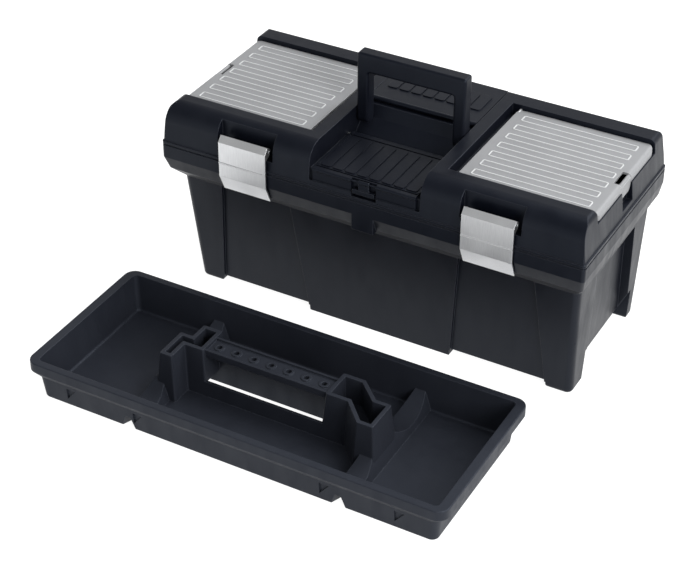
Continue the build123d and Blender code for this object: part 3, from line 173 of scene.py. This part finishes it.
def frostedPlastic(look):
    mat, tree, shader, coords = startMaterial(look["name"])
    normal, edgeMask = softEdges(tree, look["edgeRadius"])
    split = tree.nodes.new("ShaderNodeSeparateXYZ")
    tree.links.new(coords, split.inputs["Vector"])
    ribFoot = look["ribLevel"]
    # painted highlight on the rib tops: everything above the rib foot is pale
    ribHighlightMask = remap(tree, split.outputs["Z"], ribFoot, ribFoot + look["ribFade"], 0.0, 1.0)
    cloud = noiseField(tree, coords, look["cloudScale"], 3.0)
    dull = tuple(look["dullShare"] * channel for channel in look["colour"])
    sheet = mixColour(tree, remap(tree, cloud, *cloudSpan, 0.0, 1.0), dull, look["colour"])
    # painted highlight along the cover edges
    paintedEdge = remap(tree, edgeMask, 0.0, 1.0, 0.0, look["edgeShare"])
    sheet = mixColour(tree, paintedEdge, sheet, look["rib"])
    tree.links.new(mixColour(tree, ribHighlightMask, sheet, look["rib"]), shader.inputs["Base Color"])
    frost = noiseField(tree, coords, look["frostScale"], 2.0)
    low, high = look["roughness"]
    tree.links.new(remap(tree, frost, *grainSpan, low, high), shader.inputs["Roughness"])
    tree.links.new(bumped(tree, frost, look["frostDepth"], look["frostStrength"], normal), shader.inputs["Normal"])
    shader.inputs["Transmission Weight"].default_value = look["transmission"]
    shader.inputs["IOR"].default_value = look["refraction"]
    return mat


# satin aluminium sheet of the latches, brushed up and down, and drawn steel of the pins

latchMetal = dict(
    name="latchAluminium",
    colour=(0.74, 0.75, 0.76),
    dark=(0.62, 0.63, 0.645),
    edgeRadius=0.0006,
    roughness=(0.30, 0.44),
    smearScale=25.0,
    brush=(1.0, 1.0, 0.03),
    brushScale=2600.0,
    brushDepth=0.00002,
    brushStrength=0.35,
)
pinMetal = dict(
    latchMetal,
    name="pinSteel",
    colour=(0.42, 0.43, 0.44),
    dark=(0.30, 0.31, 0.32),
    roughness=(0.28, 0.45),
    brush=(0.05, 1.0, 1.0),
    brushScale=2200.0,
)


def brushedMetal(look):
    mat, tree, shader, coords = startMaterial(look["name"])
    normal = softEdges(tree, look["edgeRadius"])[0]
    brush = noiseField(tree, coords, look["brushScale"], 3.0, 0.6, look["brush"])
    smear = noiseField(tree, coords, look["smearScale"], 3.0)
    tone = mixColour(tree, remap(tree, brush, *grainSpan, 0.0, 1.0), look["dark"], look["colour"])
    tree.links.new(tone, shader.inputs["Base Color"])
    low, high = look["roughness"]
    tree.links.new(remap(tree, smear, *grainSpan, low, high), shader.inputs["Roughness"])
    tree.links.new(bumped(tree, brush, look["brushDepth"], look["brushStrength"], normal), shader.inputs["Normal"])
    shader.inputs["Metallic"].default_value = 1.0
    return mat


finishes = {
    "box_plastic": mouldedPlastic(boxPlastic),
    "tray_plastic": mouldedPlastic(trayPlastic),
    "frosted_cover": frostedPlastic(coverPlastic),
    "latch_aluminium": brushedMetal(latchMetal),
    "pin_steel": brushedMetal(pinMetal),
    "pads": mouldedPlastic(padPlastic),
}
paddedLids = ("front_compartment_lid", "back_compartment_lid")
for entry in frame["record"]["subparts"]:
    mesh = nodes[entry["node"]].data
    mesh.materials.clear()
    mesh.materials.append(finishes["pads" if entry["node"] in paddedLids else entry["material_slot"]])
print("finishes set:", len(finishes))


# floor, light and camera

studio = dict(floorSize=9.0, floorGlow=0.94, floorColour=(0.30, 0.30, 0.30), ambient=0.44,
              ceiling=0.35, ceilingRise=(0.25, 0.60),
              keyPlace=(0.9, 1.0, 2.3), keyAim=(0.0, -0.1, 0.1), keySize=1.7, keyPower=70.0,
              fillPlace=(2.2, -1.3, 1.4), fillSize=1.4, fillPower=60.0)


def whiteForViewer(tree):
    # 1 for rays from the camera, in mirrors and through clear things; 0 for the light that falls on the object
    path = tree.nodes.new("ShaderNodeLightPath")
    top = path.outputs["Is Camera Ray"]
    for name in ("Is Glossy Ray", "Is Transmission Ray"):
        node = tree.nodes.new("ShaderNodeMath")
        node.operation = "MAXIMUM"
        tree.links.new(top, node.inputs[0])
        tree.links.new(path.outputs[name], node.inputs[1])
        top = node.outputs["Value"]
    return top


def floorPiece(look):
    half = look["floorSize"] / 2
    mesh = bpy.data.meshes.new("floor")
    mesh.from_pydata([(-half, -half, 0), (half, -half, 0), (half, half, 0), (-half, half, 0)], [], [(0, 1, 2, 3)])
    floor = bpy.data.objects.new("floor", mesh)
    bpy.context.scene.collection.objects.link(floor)
    mat = bpy.data.materials.new("paleFloor")
    mat.use_nodes = True
    tree = mat.node_tree
    tree.nodes.remove(tree.nodes["Principled BSDF"])
    diffuse = tree.nodes.new("ShaderNodeBsdfDiffuse")
    diffuse.inputs["Color"].default_value = (*look["floorColour"], 1.0)
    glow = tree.nodes.new("ShaderNodeEmission")
    glow.inputs["Strength"].default_value = look["floorGlow"]
    both = tree.nodes.new("ShaderNodeAddShader")
    tree.links.new(diffuse.outputs[0], both.inputs[0])
    tree.links.new(glow.outputs[0], both.inputs[1])
    choose = tree.nodes.new("ShaderNodeMixShader")
    tree.links.new(whiteForViewer(tree), choose.inputs[0])
    tree.links.new(diffuse.outputs[0], choose.inputs[1])
    tree.links.new(both.outputs[0], choose.inputs[2])
    tree.links.new(choose.outputs[0], tree.nodes["Material Output"].inputs["Surface"])
    mesh.materials.append(mat)


def softWorld(look):
    world = bpy.data.worlds.new("studio")
    bpy.context.scene.world = world
    world.use_nodes = True
    tree = world.node_tree
    back = tree.nodes["Background"]
    back.inputs["Color"].default_value = (1.0, 1.0, 1.0, 1.0)
    # white walls all round, and a dim ceiling over them
    split = tree.nodes.new("ShaderNodeSeparateXYZ")
    tree.links.new(tree.nodes.new("ShaderNodeTexCoord").outputs["Generated"], split.inputs["Vector"])
    low, high = look["ceilingRise"]
    walls = remap(tree, split.outputs["Z"], low, high, 1.0, look["ceiling"])
    choose = tree.nodes.new("ShaderNodeMix")
    # inputs 0, 2 and 3 are the node's factor and its two numbers
    choose.inputs[2].default_value = look["ambient"]
    tree.links.new(whiteForViewer(tree), choose.inputs[0])
    tree.links.new(walls, choose.inputs[3])
    tree.links.new(choose.outputs[0], back.inputs["Strength"])


def areaLamp(name, place, aim, size, power):
    light = bpy.data.lights.new(name, "AREA")
    light.size = size
    light.energy = power
    lamp = bpy.data.objects.new(name, light)
    bpy.context.scene.collection.objects.link(lamp)
    lamp.location = place
    lamp.rotation_euler = (Vector(aim) - Vector(place)).to_track_quat("-Z", "Y").to_euler()


floorPiece(studio)
softWorld(studio)
areaLamp("keyLamp", studio["keyPlace"], studio["keyAim"], studio["keySize"], studio["keyPower"])
areaLamp("fillLamp", studio["fillPlace"], studio["keyAim"], studio["fillSize"], studio["fillPower"])

viewer = dict(place=(0.7915, -1.6005, 1.2727), azimuth=28.64, elevation=35.0, roll=0.40,
              focalPixels=1822.0, imageWidth=694.0, sensor=36.0)


def photoCamera(look):
    turn, rise, roll = (math.radians(look[key]) for key in ("azimuth", "elevation", "roll"))
    back = Vector((math.sin(turn) * math.cos(rise), -math.cos(turn) * math.cos(rise), math.sin(rise)))
    right = Vector((math.cos(turn), math.sin(turn), 0.0))
    up = back.cross(right)
    right, up = right * math.cos(roll) + up * math.sin(roll), up * math.cos(roll) - right * math.sin(roll)
    data = bpy.data.cameras.new("photoCamera")
    data.sensor_width = look["sensor"]
    data.lens = look["focalPixels"] / look["imageWidth"] * look["sensor"]
    camera = bpy.data.objects.new("photoCamera", data)
    bpy.context.scene.collection.objects.link(camera)
    pose = Matrix((right, up, back)).transposed().to_4x4()
    pose.translation = look["place"]
    camera.matrix_world = pose
    bpy.context.scene.camera = camera


photoCamera(viewer)
bpy.context.scene.view_settings.view_transform = "Standard"
print("studio and camera set")
